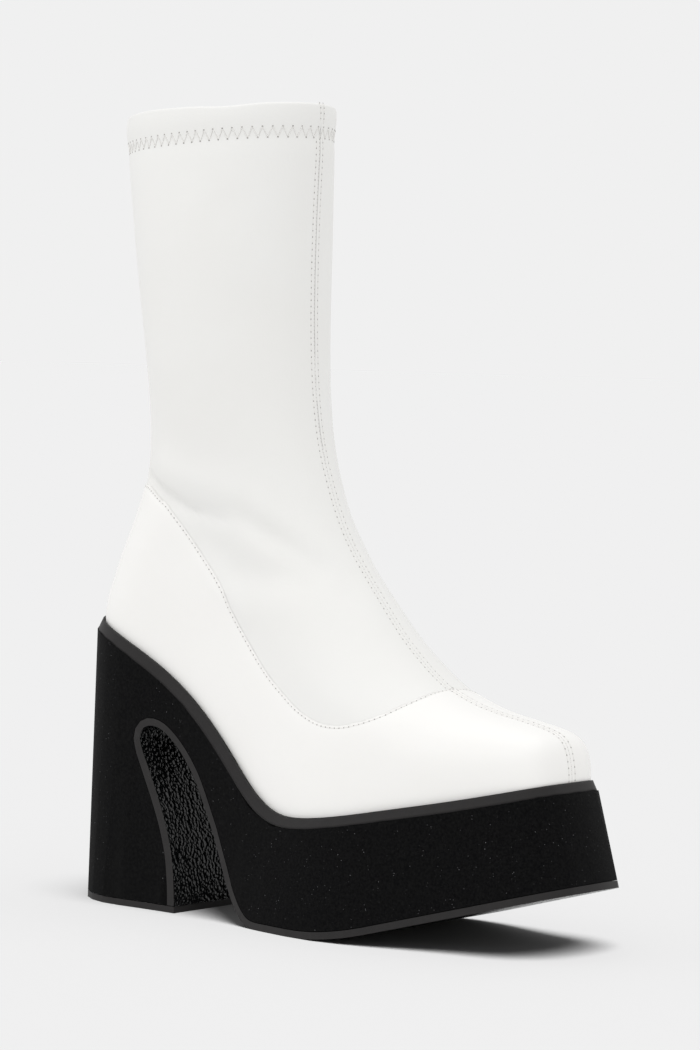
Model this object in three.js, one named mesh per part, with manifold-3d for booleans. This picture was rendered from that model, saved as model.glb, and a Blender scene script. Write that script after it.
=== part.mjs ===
// A chunky heel platform ankle boot for the right foot, with a pull-on sock-like shaft and a squared toe.
// Millimetres. X runs from the heel to the toe, Y to the wearer's left (the inner side of the foot), Z up.
// The origin is on the floor, at the middle of the flat spot under the heel.
import * as THREE from "three";
import { mergeVertices } from "three/addons/utils/BufferGeometryUtils.js";
import Module from "manifold-3d";

const wasm = await Module();
wasm.setup();

// Driving dimensions

// The last: the form that the upper is pulled over. Lengths run from the back of the heel.
const LAST_LENGTH = 246;
const HEEL_WIDTH = 57;
const WAIST_WIDTH = 60;
const BALL_WIDTH = 80;
const TOE_WIDTH = 41;
const HEEL_ROUND = 29; // length of the rounded back of the heel, seen from above
const LEG_ROUND = 45; // length of the rounded front of the leg, seen from above
const TOE_ROUND = 8; // length over which the squared toe is rounded off
const TOE_SQUARENESS = 3; // 2 is an ellipse, more is squarer
const TOE_DEPTH = 21; // height of the toe's front face over its seat

// Where the upper's edge lies on the platform, above the floor, at the top of the rand
const HEEL_HEIGHT = 124.5;
const PLATFORM_HEIGHT = 48;
const TOE_RISE = 22.5; // the toe over the lowest point of the forefoot

// The upper
const INSTEP_RISE = 134; // front of the ankle over the seat of the toe
const COUNTER_RISE = 66; // top of the heel counter over the seat of the heel
const LEG_HEIGHT = 157; // back of the collar over the top of the counter
const COLLAR_TILT = 6; // how much higher the collar is at the front
const ANKLE_WIDTH = 63;
const LEG_WIDTH = 73;
const LEATHER = 1.6; // wall of the bonded stretch leather
const HEM_DEPTH = 11; // the collar's edge is turned in by this much
const HEM_LEATHER = 1; // and is thicker by this much
const PANEL_LEATHER = 0.8; // wall of the firm panel that is stitched over the foot

// The sole unit
const RAND_HEIGHT = 4.4; // measured square to the seat line
const RAND_BEVEL = 1.9; // how far its outer face leans in
const SIDE_EDGE = 5.2; // the block's edge outside the last's feather edge, at the sides
const END_EDGE = 4; // and at the back of the heel and the front of the toe
const OUTSOLE_THICKNESS = 3;
const BREAST_THICKNESS = 4; // the same sheet, where it lines the front of the heel
const BREAST_START = 0.5; // share of the arch's run where the sheet begins to thicken
const BREAST_END = 0.7; // and where it has reached that thickness
const TOP_LIFT_THICKNESS = 2.8;
const INSOLE_THICKNESS = 3;
const HEEL_FLARE = 3.4; // how much wider the block is at the floor than at its edge, behind
const HEEL_SIDE_FLARE = 0.2;
const BALL_FLARE = 5;
const TOE_FLARE = 21;

// The arch cut through the block between heel and forefoot
const ARCH_HEIGHT = 80;
const ARCH_SPAN = 46; // along the floor
const BREAST_FOOT = 64; // where the heel's front face meets the floor
// The tread: flat under the ball of the foot, then straight up to the toe
const ROCKER_START = 139;
const ROCKER_BEND = 39;
const ROCKER_ANGLE = 15.2; // degrees

const CLEARANCE = 0.3; // between pieces that touch

// Fineness of the faceted solids
const SIDE_STEPS = 26; // from the heel's centre line to the toe's, on one side
const ARCH_STEPS = 72;
const BEND_STEPS = 12;

// Tables. Lengths are shares of the sizes that they name.

// The seat line: the top edge of the rand in the side view. at is a share of the last's length, heel a share
// of the drop from heel to ball, toe a share of the toe's rise.
const SEAT = [
  { at: -0.03, heel: 1.012, toe: 0 },
  { at: 0.0, heel: 1.0, toe: 0 },
  { at: 0.073, heel: 0.948, toe: 0 },
  { at: 0.154, heel: 0.837, toe: 0 },
  { at: 0.232, heel: 0.706, toe: 0 },
  { at: 0.305, heel: 0.539, toe: 0 },
  { at: 0.37, heel: 0.34, toe: 0 },
  { at: 0.435, heel: 0.118, toe: 0 },
  { at: 0.476, heel: 0.024, toe: 0 },
  { at: 0.516, heel: 0, toe: 0 },
  { at: 0.61, heel: 0, toe: 0.1 },
  { at: 0.752, heel: 0, toe: 0.4 },
  { at: 0.866, heel: 0, toe: 0.655 },
  { at: 1.0, heel: 0, toe: 1 },
  { at: 1.1, heel: 0, toe: 1.275 },
];

// The feather edge seen from above: half widths of the outer and the inner side, as shares of a named width.
// The rounded ends come from HEEL_ROUND and TOE_ROUND.
const OUTLINE = [
  { at: 0.0, of: HEEL_WIDTH, outer: 0.5, inner: 0.5 },
  { at: 0.12, of: HEEL_WIDTH, outer: 0.5, inner: 0.5 },
  { at: 0.25, of: WAIST_WIDTH, outer: 0.485, inner: 0.47 },
  { at: 0.38, of: WAIST_WIDTH, outer: 0.52, inner: 0.465 },
  { at: 0.5, of: BALL_WIDTH, outer: 0.455, inner: 0.405 },
  { at: 0.61, of: BALL_WIDTH, outer: 0.5, inner: 0.475 },
  { at: 0.7, of: BALL_WIDTH, outer: 0.482, inner: 0.495 },
  { at: 0.8, of: BALL_WIDTH, outer: 0.42, inner: 0.44 },
  { at: 0.9, of: TOE_WIDTH, outer: 0.655, inner: 0.67 },
  { at: 0.97, of: TOE_WIDTH, outer: 0.52, inner: 0.525 },
  { at: 1.0, of: TOE_WIDTH, outer: 0.485, inner: 0.485 },
];

// The back of the upper, from the seat up: along is a share of the last's length; counter a share of the
// counter's rise and leg a share of the leg's height.
const BACK_LINE = [
  { along: 0.004, counter: 0, leg: 0 },
  { along: 0.004, counter: 0.1, leg: 0 },
  { along: 0.009, counter: 0.2, leg: 0 },
  { along: 0.023, counter: 0.34, leg: 0 },
  { along: 0.041, counter: 0.51, leg: 0 },
  { along: 0.062, counter: 0.69, leg: 0 },
  { along: 0.079, counter: 0.87, leg: 0 },
  { along: 0.089, counter: 1.0, leg: 0.02 },
  { along: 0.096, counter: 1.0, leg: 0.13 },
  { along: 0.092, counter: 1.0, leg: 0.25 },
  { along: 0.081, counter: 1.0, leg: 0.4 },
  { along: 0.065, counter: 1.0, leg: 0.57 },
  { along: 0.043, counter: 1.0, leg: 0.78 },
  { along: 0.024, counter: 1.0, leg: 0.92 },
  { along: 0.021, counter: 1.0, leg: 1.0 },
];

// The ridge of the upper, from the top of the toe box back over the instep and up the front of the leg:
// instep is a share of the instep's rise, leg of the leg's height.
const RIDGE_LINE = [
  { along: 0.974, instep: 0.172, leg: 0 },
  { along: 0.94, instep: 0.187, leg: 0 },
  { along: 0.89, instep: 0.204, leg: 0 },
  { along: 0.85, instep: 0.216, leg: 0 },
  { along: 0.808, instep: 0.234, leg: 0 },
  { along: 0.766, instep: 0.263, leg: 0 },
  { along: 0.723, instep: 0.31, leg: 0 },
  { along: 0.679, instep: 0.377, leg: 0 },
  { along: 0.635, instep: 0.455, leg: 0 },
  { along: 0.59, instep: 0.56, leg: 0 },
  { along: 0.549, instep: 0.65, leg: 0 },
  { along: 0.51, instep: 0.755, leg: 0 },
  { along: 0.474, instep: 0.91, leg: 0 },
  { along: 0.456, instep: 1.0, leg: 0 },
  { along: 0.44, instep: 1.0, leg: 0.146 },
  { along: 0.432, instep: 1.0, leg: 0.292 },
  { along: 0.429, instep: 1.0, leg: 0.479 },
  { along: 0.43, instep: 1.0, leg: 0.729 },
  { along: 0.434, instep: 1.0, leg: 0.896 },
  { along: 0.434, instep: 1.0, leg: 1.0 },
];

// The toe's front face, from the seat up to the ridge: back is a share of TOE_ROUND, up of TOE_DEPTH.
const TOE_FACE = [
  { back: 0.08, up: 0 },
  { back: 0.04, up: 0.27 },
  { back: 0.09, up: 0.5 },
  { back: 0.25, up: 0.77 },
  { back: 0.45, up: 1.0 },
];

// How the section closes towards the ridge: the length over which it is rounded, as a share of a named
// length, and its squareness.
const ROUNDING = [
  { at: 0.4, of: LEG_ROUND, round: 1.0, square: 2 },
  { at: 0.46, of: LEG_ROUND, round: 0.95, square: 2 },
  { at: 0.6, of: LEG_ROUND, round: 0.78, square: 2.1 },
  { at: 0.8, of: LEG_ROUND, round: 0.5, square: 2.3 },
  { at: 0.93, of: TOE_ROUND, round: 1.9, square: 2.6 },
  { at: 0.98, of: TOE_ROUND, round: 1.2, square: 2.9 },
  { at: 1.0, of: TOE_ROUND, round: 1.0, square: TOE_SQUARENESS },
];

// The girth of the heel and leg, level by level: half width and the length of the rounded back, as shares.
const GIRTH = [
  { counter: 0, leg: 0, of: HEEL_WIDTH, half: 0.5, round: 1.0 },
  { counter: 0.25, leg: 0, of: HEEL_WIDTH, half: 0.525, round: 1.03 },
  { counter: 0.6, leg: 0, of: HEEL_WIDTH, half: 0.525, round: 1.1 },
  { counter: 1.0, leg: 0, of: ANKLE_WIDTH, half: 0.49, round: 1.4 },
  { counter: 1.0, leg: 0.15, of: ANKLE_WIDTH, half: 0.535, round: 1.5 },
  { counter: 1.0, leg: 0.4, of: LEG_WIDTH, half: 0.51, round: 1.5 },
  { counter: 1.0, leg: 0.7, of: LEG_WIDTH, half: 0.525, round: 1.55 },
  { counter: 1.0, leg: 0.9, of: LEG_WIDTH, half: 0.485, round: 1.7 },
  { counter: 1.0, leg: 1.0, of: LEG_WIDTH, half: 0.475, round: 1.75 },
];

// The rings that the upper is laid out in, from the feather edge to the collar: front and back are shares of
// the ridge's and the back line's lengths, sag says how much of the seat's dip a ring keeps, and steps is
// the number of rings up to the next row.
const RINGS = [
  { front: 0, back: 0, sag: 1, steps: 4 },
  { front: 0.07, back: 0.07, sag: 0.9, steps: 4 },
  { front: 0.19, back: 0.18, sag: 0.6, steps: 5 },
  { front: 0.33, back: 0.28, sag: 0.32, steps: 4 },
  { front: 0.49, back: 0.38, sag: 0.1, steps: 3 },
  { front: 0.64, back: 0.53, sag: 0, steps: 6 },
  { front: 1, back: 1, sag: 0, steps: 0 },
];

// The arch, from the forefoot's corner on the floor up its front wall, over the top and down the heel's
// breast: span is a share of ARCH_SPAN from the breast's foot, up a share of ARCH_HEIGHT.
const ARCH = [
  { span: 1.2, up: 0.0 },
  { span: 1.08, up: 0.004 },
  { span: 0.98, up: 0.024 },
  { span: 0.89, up: 0.064 },
  { span: 0.8, up: 0.12 },
  { span: 0.715, up: 0.19 },
  { span: 0.62, up: 0.305 },
  { span: 0.424, up: 0.53 },
  { span: 0.226, up: 0.738 },
  { span: 0.07, up: 0.855 },
  { span: -0.08, up: 0.935 },
  { span: -0.217, up: 0.985 },
  { span: -0.34, up: 1.0 },
  { span: -0.435, up: 0.985 },
  { span: -0.483, up: 0.94 },
  { span: -0.458, up: 0.875 },
  { span: -0.363, up: 0.765 },
  { span: -0.224, up: 0.6 },
  { span: -0.124, up: 0.46 },
  { span: -0.052, up: 0.32 },
  { span: -0.013, up: 0.16 },
  { span: 0, up: 0 },
];

// How far the block's side leans out from its edge down to the floor
const FLARE = [
  { at: -0.02, out: HEEL_FLARE },
  { at: 0.1, out: HEEL_SIDE_FLARE },
  { at: 0.3, out: HEEL_SIDE_FLARE },
  { at: 0.46, out: 0.75 * BALL_FLARE },
  { at: 0.6, out: BALL_FLARE },
  { at: 0.86, out: BALL_FLARE },
  { at: 0.98, out: 0.72 * TOE_FLARE },
  { at: 1.0, out: TOE_FLARE },
];

// The stitched top edge of the foot panel in the side view, from the back to the ridge: along is a share of
// the last's length, up a share of the counter's rise over the heel's seat.
const PANEL_EDGE = [
  { along: -0.1, up: 0.97 },
  { along: 0.06, up: 0.97 },
  { along: 0.108, up: 0.965 },
  { along: 0.144, up: 0.948 },
  { along: 0.185, up: 0.877 },
  { along: 0.211, up: 0.822 },
  { along: 0.247, up: 0.698 },
  { along: 0.285, up: 0.555 },
  { along: 0.323, up: 0.403 },
  { along: 0.344, up: 0.307 },
  { along: 0.364, up: 0.183 },
  { along: 0.395, up: 0.028 },
  { along: 0.43, up: -0.123 },
  { along: 0.458, up: -0.217 },
  { along: 0.489, up: -0.302 },
  { along: 0.528, up: -0.396 },
  { along: 0.578, up: -0.464 },
  { along: 0.623, up: -0.475 },
  { along: 0.663, up: -0.445 },
  { along: 0.701, up: -0.389 },
  { along: 0.726, up: -0.325 },
  { along: 0.743, up: -0.262 },
  { along: 0.747, up: -0.2 },
  { along: 0.748, up: -0.1 },
];

// Small helpers

const clamp01 = (value) => Math.min(Math.max(value, 0), 1);
const mix = (a, b, share) => a + (b - a) * share;
const smooth = (from, to, value) => {
  const share = clamp01((value - from) / (to - from));
  return share * share * (3 - 2 * share);
};
// The height of a rounded end, from 0 at its tip to 1 where it runs level: a quarter ellipse at
// squareness 2.
const roundedEnd = (share, square) => (1 - (1 - clamp01(share)) ** square) ** (1 / square);

// A smooth function through the rows of a table, straight beyond its ends.
function smoothThrough(xs, ys) {
  const last = xs.length - 1;
  const slope = (i) => {
    const from = Math.max(i - 1, 0);
    const to = Math.min(i + 1, last);
    return (ys[to] - ys[from]) / (xs[to] - xs[from]);
  };
  return (x) => {
    if (x <= xs[0]) return ys[0] + slope(0) * (x - xs[0]);
    if (x >= xs[last]) return ys[last] + slope(last) * (x - xs[last]);
    let i = 0;
    while (x > xs[i + 1]) i += 1;
    const gap = xs[i + 1] - xs[i];
    const t = (x - xs[i]) / gap;
    const rise = t * t * (3 - 2 * t);
    const leave = t * (1 - t) * (1 - t) * gap * slope(i);
    const arrive = t * t * (1 - t) * gap * slope(i + 1);
    return mix(ys[i], ys[i + 1], rise) + leave - arrive;
  };
}

// A curve in the side view, held as close points, so that it can be read by length, by x and by z.
function sideCurve(points) {
  const curve = new THREE.CatmullRomCurve3(
    points.map(([x, z]) => new THREE.Vector3(x, 0, z)),
    false,
    "centripetal",
  );
  return curve.getSpacedPoints(400).map((point) => [point.x, point.z]);
}

// Reads one coordinate of a run of points where the other has a given value.
function readAcross(points, known, wanted, value) {
  const last = points.length - 1;
  const upwards = points[last][known] > points[0][known];
  for (let i = 0; i < last; i += 1) {
    const a = points[i];
    const b = points[i + 1];
    const [low, high] = upwards ? [a, b] : [b, a];
    if (value >= low[known] && value <= high[known] && high[known] > low[known]) {
      return mix(low[wanted], high[wanted], (value - low[known]) / (high[known] - low[known]));
    }
  }
  const nearer = Math.abs(value - points[0][known]) < Math.abs(value - points[last][known]);
  return nearer ? points[0][wanted] : points[last][wanted];
}

function lengthOf(points) {
  let sum = 0;
  for (let i = 1; i < points.length; i += 1) {
    sum += Math.hypot(points[i][0] - points[i - 1][0], points[i][1] - points[i - 1][1]);
  }
  return sum;
}

// A point of an evenly spaced run, at a share of its length.
function pointAlong(points, share) {
  const place = share * (points.length - 1);
  const i = Math.min(Math.floor(place), points.length - 2);
  return [0, 1].map((axis) => mix(points[i][axis], points[i + 1][axis], place - i));
}

// Solids

// Turns rows of vertices, each row closed round the object, into a closed solid. The last row joins the
// first when the rows go round a wall, and otherwise the two end rows are closed with strips across. The
// faces of a wall's two sides are split along the same diagonals.
function solidFromRings(rings, { wall }) {
  const around = rings[0].length;
  const position = rings.flat(2);
  const faces = [];
  const at = (ring, i) => ring * around + (i % around);
  const steps = wall ? rings.length : rings.length - 1;
  for (let ring = 0; ring < steps; ring += 1) {
    const next = (ring + 1) % rings.length;
    const inside = wall && ring >= rings.length / 2;
    for (let i = 0; i < around; i += 1) {
      const [a, b, c, d] = [at(ring, i), at(ring, i + 1), at(next, i + 1), at(next, i)];
      if (inside) faces.push(a, b, d, b, c, d);
      else faces.push(a, b, c, a, c, d);
    }
  }
  if (!wall) {
    const top = rings.length - 1;
    for (let i = 0; i < around / 2; i += 1) {
      const [a, b, c, d] = [i, i + 1, around - i - 1, (around - i) % around];
      if (b !== c) faces.push(at(0, a), at(0, c), at(0, b), at(top, a), at(top, b), at(top, c));
      if (a !== d) faces.push(at(0, a), at(0, d), at(0, c), at(top, a), at(top, c), at(top, d));
    }
  }
  return toManifold(position, faces);
}

function toManifold(position, faces) {
  const geometry = new THREE.BufferGeometry();
  geometry.setAttribute("position", new THREE.Float32BufferAttribute(position, 3));
  geometry.setIndex(faces);
  return geometryToManifold(geometry);
}

function geometryToManifold(geometry) {
  geometry.deleteAttribute("normal");
  geometry.deleteAttribute("uv");
  const merged = mergeVertices(geometry, 1e-4);
  const triangles = [];
  const index = merged.index.array;
  for (let i = 0; i < index.length; i += 3) {
    const [a, b, c] = [index[i], index[i + 1], index[i + 2]];
    if (a !== b && b !== c && c !== a) triangles.push(a, b, c);
  }
  const mesh = new wasm.Mesh({
    numProp: 3,
    vertProperties: merged.attributes.position.array,
    triVerts: new Uint32Array(triangles),
  });
  return new wasm.Manifold(mesh);
}

// A shape drawn in the side view, run right through the shoe from side to side.
function sidePrism(points) {
  const depth = 3 * BALL_WIDTH;
  const shape = new THREE.Shape(points.map(([x, z]) => new THREE.Vector2(x, z)));
  const geometry = new THREE.ExtrudeGeometry(shape, { depth, bevelEnabled: false });
  geometry.rotateX(Math.PI / 2);
  geometry.translate(0, depth / 2, 0);
  return geometryToManifold(geometry);
}

function manifoldToMesh(solid, name, material) {
  const { vertProperties, triVerts, numProp } = solid.getMesh();
  const position = new Float32Array((vertProperties.length / numProp) * 3);
  for (let i = 0; i < position.length / 3; i += 1) {
    position.set(vertProperties.subarray(i * numProp, i * numProp + 3), i * 3);
  }
  const geometry = new THREE.BufferGeometry();
  geometry.setAttribute("position", new THREE.BufferAttribute(position, 3));
  geometry.setIndex(new THREE.BufferAttribute(triVerts, 1));
  geometry.computeVertexNormals();
  const mesh = new THREE.Mesh(geometry, material);
  mesh.name = name;
  return mesh;
}

// The side view of the last

const randTop = smoothThrough(
  SEAT.map((row) => row.at * LAST_LENGTH),
  SEAT.map((row) => mix(PLATFORM_HEIGHT, HEEL_HEIGHT, row.heel) + row.toe * TOE_RISE),
);
const seat = (x) => {
  const slope = randTop(x + 0.5) - randTop(x - 0.5);
  return randTop(x) - RAND_HEIGHT * Math.hypot(1, slope);
};
const heelSeat = seat(0);
const toeSeat = seat(LAST_LENGTH);

const levelUpBack = (row) => heelSeat + row.counter * COUNTER_RISE + row.leg * LEG_HEIGHT;
const backLine = sideCurve(BACK_LINE.map((row) => [row.along * LAST_LENGTH, levelUpBack(row)]));
const collarBack = levelUpBack(BACK_LINE.at(-1));
const ankleFront = toeSeat + INSTEP_RISE;
const legFront = collarBack + COLLAR_TILT - ankleFront;
const frontLine = sideCurve([
  ...TOE_FACE.map((row) => [LAST_LENGTH - row.back * TOE_ROUND, toeSeat + row.up * TOE_DEPTH]),
  ...RIDGE_LINE.map((row) => [
    row.along * LAST_LENGTH,
    toeSeat + row.instep * INSTEP_RISE + row.leg * legFront,
  ]),
]);
const backLength = lengthOf(backLine);
const frontLength = lengthOf(frontLine);

const backAt = (z) => readAcross(backLine, 1, 0, z);
const frontAt = (z) => readAcross(frontLine, 1, 0, z);
const narrowest = frontLine.reduce((least, point) => (point[0] < least[0] ? point : least));
const ridgeRun = frontLine.slice(0, frontLine.indexOf(narrowest) + 1);

// How far a point in the side view lies inside the front line: square to it where it slopes.
function insideFront(x, z) {
  const ahead = Math.max(frontAt(z) - x, 0);
  if (z > ankleFront || ahead === 0) return ahead;
  const above = Math.max(readAcross(ridgeRun, 0, 1, x) - z, 0);
  if (x < narrowest[0]) return ahead;
  return above === 0 ? 0 : (ahead * above) / Math.hypot(ahead, above);
}

// The last as a solid form: its half width at a point in the side view. side is "outer" or "inner".
const halfWidth = {};
for (const side of ["outer", "inner"]) {
  halfWidth[side] = smoothThrough(
    OUTLINE.map((row) => row.at * LAST_LENGTH),
    OUTLINE.map((row) => row.of * row[side]),
  );
}
const girthLevels = GIRTH.map(levelUpBack);
const girthHalf = smoothThrough(
  girthLevels,
  GIRTH.map((row) => row.of * row.half),
);
const girthRound = smoothThrough(
  girthLevels,
  GIRTH.map((row) => HEEL_ROUND * row.round),
);
const roundingAt = ROUNDING.map((row) => row.at * LAST_LENGTH);
const frontRound = smoothThrough(
  roundingAt,
  ROUNDING.map((row) => row.of * row.round),
);
const frontSquareness = smoothThrough(
  roundingAt,
  ROUNDING.map((row) => row.square),
);

function lastHalfWidth(x, z, side) {
  const level = Math.min(Math.max(z, girthLevels[0]), girthLevels.at(-1));
  const lean = smooth(seat(x), ankleFront, z);
  const core = mix(halfWidth[side](x), girthHalf(level), lean);
  const at = Math.max(x, roundingAt[0]);
  const back = roundedEnd((x - backAt(z)) / girthRound(level), 2);
  const front = roundedEnd(insideFront(x, z) / frontRound(at), frontSquareness(at));
  return core * back * front;
}

// Rings of points round the shoe

// Each ring starts at the middle of the heel, runs along the outer side to the middle of the toe and comes
// back along the inner side. Steps are short towards both ends.
const shareAlong = (step) => (1 - Math.cos((Math.PI * step) / SIDE_STEPS)) / 2;
const ringSteps = [];
for (let step = 0; step < 2 * SIDE_STEPS; step += 1) {
  const outer = step <= SIDE_STEPS;
  const along = shareAlong(outer ? step : 2 * SIDE_STEPS - step);
  ringSteps.push({ along, side: outer ? "outer" : "inner", sign: outer ? -1 : 1 });
}

// Just clear of the block's top
const steepness = (x) => Math.hypot(1, randTop(x + 0.5) - randTop(x - 0.5));
const onSeat = (x) => seat(x) + CLEARANCE * steepness(x);

// A ring of the upper: front and back are shares of the front and back lines' lengths.
function upperRing({ front, back, sag }) {
  const from = pointAlong(backLine, back);
  const to = pointAlong(frontLine, front);
  return ringSteps.map(({ along, side, sign }) => {
    const dip = seat(along * LAST_LENGTH) - mix(heelSeat, toeSeat, along);
    const x = mix(from[0], to[0], along);
    const z = mix(from[1], to[1], along) + sag * dip;
    const tip = along === 0 || along === 1;
    return [x, tip ? 0 : sign * lastHalfWidth(x, z, side), z];
  });
}

// Moves a stack of rings square to its own surface. The first ring stays on the seat and the last at its
// height.
function offsetRings(rings, distance) {
  const around = rings[0].length;
  return rings.map((ring, level) => {
    const below = rings[Math.max(level - 1, 0)];
    const above = rings[Math.min(level + 1, rings.length - 1)];
    const edge = level === 0 || level === rings.length - 1;
    return ring.map((point, i) => {
      const next = ring[(i + 1) % around];
      const previous = ring[(i + around - 1) % around];
      const forward = new THREE.Vector3(...next).sub(new THREE.Vector3(...previous));
      const upward = new THREE.Vector3(...above[i]).sub(new THREE.Vector3(...below[i]));
      const out = forward.cross(upward);
      if (edge) out.z = 0;
      out.setLength(distance);
      const x = point[0] + out.x;
      return [x, point[1] + out.y, level === 0 ? onSeat(x) : point[2] + out.z];
    });
  });
}

// The feather edge, seen from above, moved outwards. How far may change with the place along the last.
const feather = upperRing(RINGS[0]);
function featherOffset(distance) {
  const around = feather.length;
  return feather.map(([x, y], i) => {
    const next = feather[(i + 1) % around];
    const previous = feather[(i + around - 1) % around];
    const out = new THREE.Vector2(next[1] - previous[1], previous[0] - next[0]);
    out.setLength(1).multiplyScalar(typeof distance === "function" ? distance(x) : distance);
    return [x + out.x, y + out.y];
  });
}
const blockEdge = (x) => {
  const fromEnd = Math.min(x, LAST_LENGTH - x);
  return mix(END_EDGE, SIDE_EDGE, smooth(0, HEEL_ROUND, fromEnd));
};
const raised = (outline, height) => {
  return outline.map(([x, y]) => [x, y, seat(x) + height * steepness(x)]);
};

// The upper: one hollow wall, open at the collar and underneath, with the collar's edge turned in

const rings = [];
RINGS.slice(0, -1).forEach((row, i) => {
  const next = RINGS[i + 1];
  for (let step = 0; step < row.steps; step += 1) {
    const share = step / row.steps;
    rings.push({
      front: mix(row.front, next.front, share),
      back: mix(row.back, next.back, share),
      sag: mix(row.sag, next.sag, share),
    });
  }
});
rings.push({ front: 1 - HEM_DEPTH / frontLength, back: 1 - HEM_DEPTH / backLength, sag: 0 });
rings.push({ front: 1, back: 1, sag: 0 });
const skin = rings.map(upperRing);
skin[0] = skin[0].map(([x, y]) => [x, y, onSeat(x)]);

function makeUpper() {
  const lining = offsetRings(skin, -LEATHER);
  const hem = offsetRings(skin, -LEATHER - HEM_LEATHER);
  const inside = [...lining.slice(0, -1), hem.at(-2), hem.at(-1)].reverse();
  return solidFromRings([...skin, ...inside], { wall: true });
}

// The foot panel: a firmer skin over the counter and vamp, outside the upper's own surface and cut along the
// line of its stitched top edge

function makeFootPanel() {
  const reach = RINGS.slice(0, 4).reduce((sum, row) => sum + row.steps, 0);
  const inner = offsetRings(skin, CLEARANCE).slice(0, reach + 1);
  const outer = offsetRings(skin, CLEARANCE + PANEL_LEATHER).slice(0, reach + 1);
  const shell = solidFromRings([...outer, ...inner.reverse()], { wall: true });
  const edge = new THREE.CatmullRomCurve3(
    PANEL_EDGE.map(
      (row) => new THREE.Vector3(row.along * LAST_LENGTH, heelSeat + row.up * COUNTER_RISE, 0),
    ),
    false,
    "centripetal",
  );
  const top = edge.getSpacedPoints(SIDE_STEPS).map(({ x, y }) => [x, y]);
  const [end] = top.slice(-1);
  const ahead = [LAST_LENGTH + 2 * TOE_ROUND, end[1]];
  const under = [
    [ahead[0], 0],
    [top[0][0], 0],
  ];
  return shell.intersect(sidePrism([...top, ahead, ...under]));
}

// The insole board, inside the foot of the upper

function makeInsole() {
  const outline = featherOffset(-(LEATHER + 2 * CLEARANCE));
  const thick = INSOLE_THICKNESS;
  const foot = 2 * CLEARANCE;
  return solidFromRings([raised(outline, foot), raised(outline, foot + thick)], { wall: false });
}

// The rand: a rubber band round the top of the block, its outer face leaning in

function makeRand() {
  const inner = featherOffset(PANEL_LEATHER + 3 * CLEARANCE);
  const foot = featherOffset(blockEdge);
  const lip = featherOffset((x) => blockEdge(x) - RAND_BEVEL);
  const stack = [
    raised(foot, CLEARANCE),
    raised(lip, RAND_HEIGHT),
    raised(inner, RAND_HEIGHT),
    raised(inner, CLEARANCE),
  ];
  return solidFromRings(stack, { wall: true });
}

// The sole unit: one leaning form, from the seat down to the floor, that the side-view shapes below cut up

const flareAt = smoothThrough(
  FLARE.map((row) => row.at * LAST_LENGTH),
  FLARE.map((row) => row.out),
);
const soleForm = solidFromRings(
  [
    featherOffset((x) => blockEdge(x) + flareAt(x)).map(([x, y]) => [x, y, 0]),
    raised(featherOffset(blockEdge), 0),
  ],
  { wall: false },
);

// The walking surface in the side view, from beyond the toe back under the ball, up into the arch, over it
// and down the front of the heel
const toeTip = LAST_LENGTH + END_EDGE + 2 * TOE_FLARE;
const rockerSlope = Math.tan(THREE.MathUtils.degToRad(ROCKER_ANGLE));
const tread = [[toeTip, (toeTip - ROCKER_START - ROCKER_BEND / 2) * rockerSlope]];
for (let step = BEND_STEPS; step >= 0; step -= 1) {
  const share = step / BEND_STEPS;
  tread.push([ROCKER_START + share * ROCKER_BEND, (share ** 2 * ROCKER_BEND * rockerSlope) / 2]);
}
const archCurve = new THREE.CatmullRomCurve3(
  ARCH.map((row) => new THREE.Vector3(BREAST_FOOT + row.span * ARCH_SPAN, row.up * ARCH_HEIGHT, 0)),
  false,
  "centripetal",
);
const arch = archCurve.getSpacedPoints(ARCH_STEPS).map(({ x, y }) => [x, y]);
const walkLine = [...tread, ...arch];

// The same line moved up into the sole, by the sheet's thickness there and a little more.
function sheetTop(extra) {
  return walkLine.map(([x, z], i) => {
    const previous = walkLine[Math.max(i - 1, 0)];
    const next = walkLine[Math.min(i + 1, walkLine.length - 1)];
    const out = new THREE.Vector2(next[1] - previous[1], previous[0] - next[0]);
    const along = (i - tread.length) / arch.length;
    const towardsHeel = smooth(BREAST_START, BREAST_END, along);
    out.setLength(mix(OUTSOLE_THICKNESS, BREAST_THICKNESS, towardsHeel) + extra);
    return [x + out.x, z + out.y];
  });
}
const belowFloor = -PLATFORM_HEIGHT;
const closedBelow = (line) => [
  ...line,
  [line.at(-1)[0], belowFloor],
  [line[0][0], belowFloor],
];
const heelFoot = (top) =>
  sidePrism([
    [-LAST_LENGTH / 2, belowFloor],
    [BREAST_FOOT + CLEARANCE, belowFloor],
    [BREAST_FOOT + CLEARANCE, top],
    [-LAST_LENGTH / 2, top],
  ]);

function makeOutsole() {
  const sheet = sidePrism([...walkLine, ...sheetTop(0).reverse()]);
  return soleForm.intersect(sheet).subtract(heelFoot(TOP_LIFT_THICKNESS + CLEARANCE));
}

function makeBlock() {
  const cut = sidePrism(closedBelow(sheetTop(CLEARANCE)));
  return soleForm.subtract(cut).subtract(heelFoot(TOP_LIFT_THICKNESS + CLEARANCE));
}

function makeTopLift() {
  return soleForm.intersect(heelFoot(TOP_LIFT_THICKNESS)).subtract(sidePrism(closedBelow(walkLine)));
}

// Materials

function finish(colour, roughness) {
  return new THREE.MeshStandardMaterial({ color: colour, roughness, metalness: 0 });
}
const stretchLeather = finish(0xebebeb, 0.45);
const panelLeather = finish(0xeeeeee, 0.42);
const flockedFoam = finish(0x161719, 0.95);
const edgeRubber = finish(0x3c3e42, 0.6);
const soleRubber = finish(0x1c1d1f, 0.45);
const insoleSock = finish(0xd8d4cb, 0.8);

// The boot, with its origin in the middle of the flat under the heel

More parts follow.
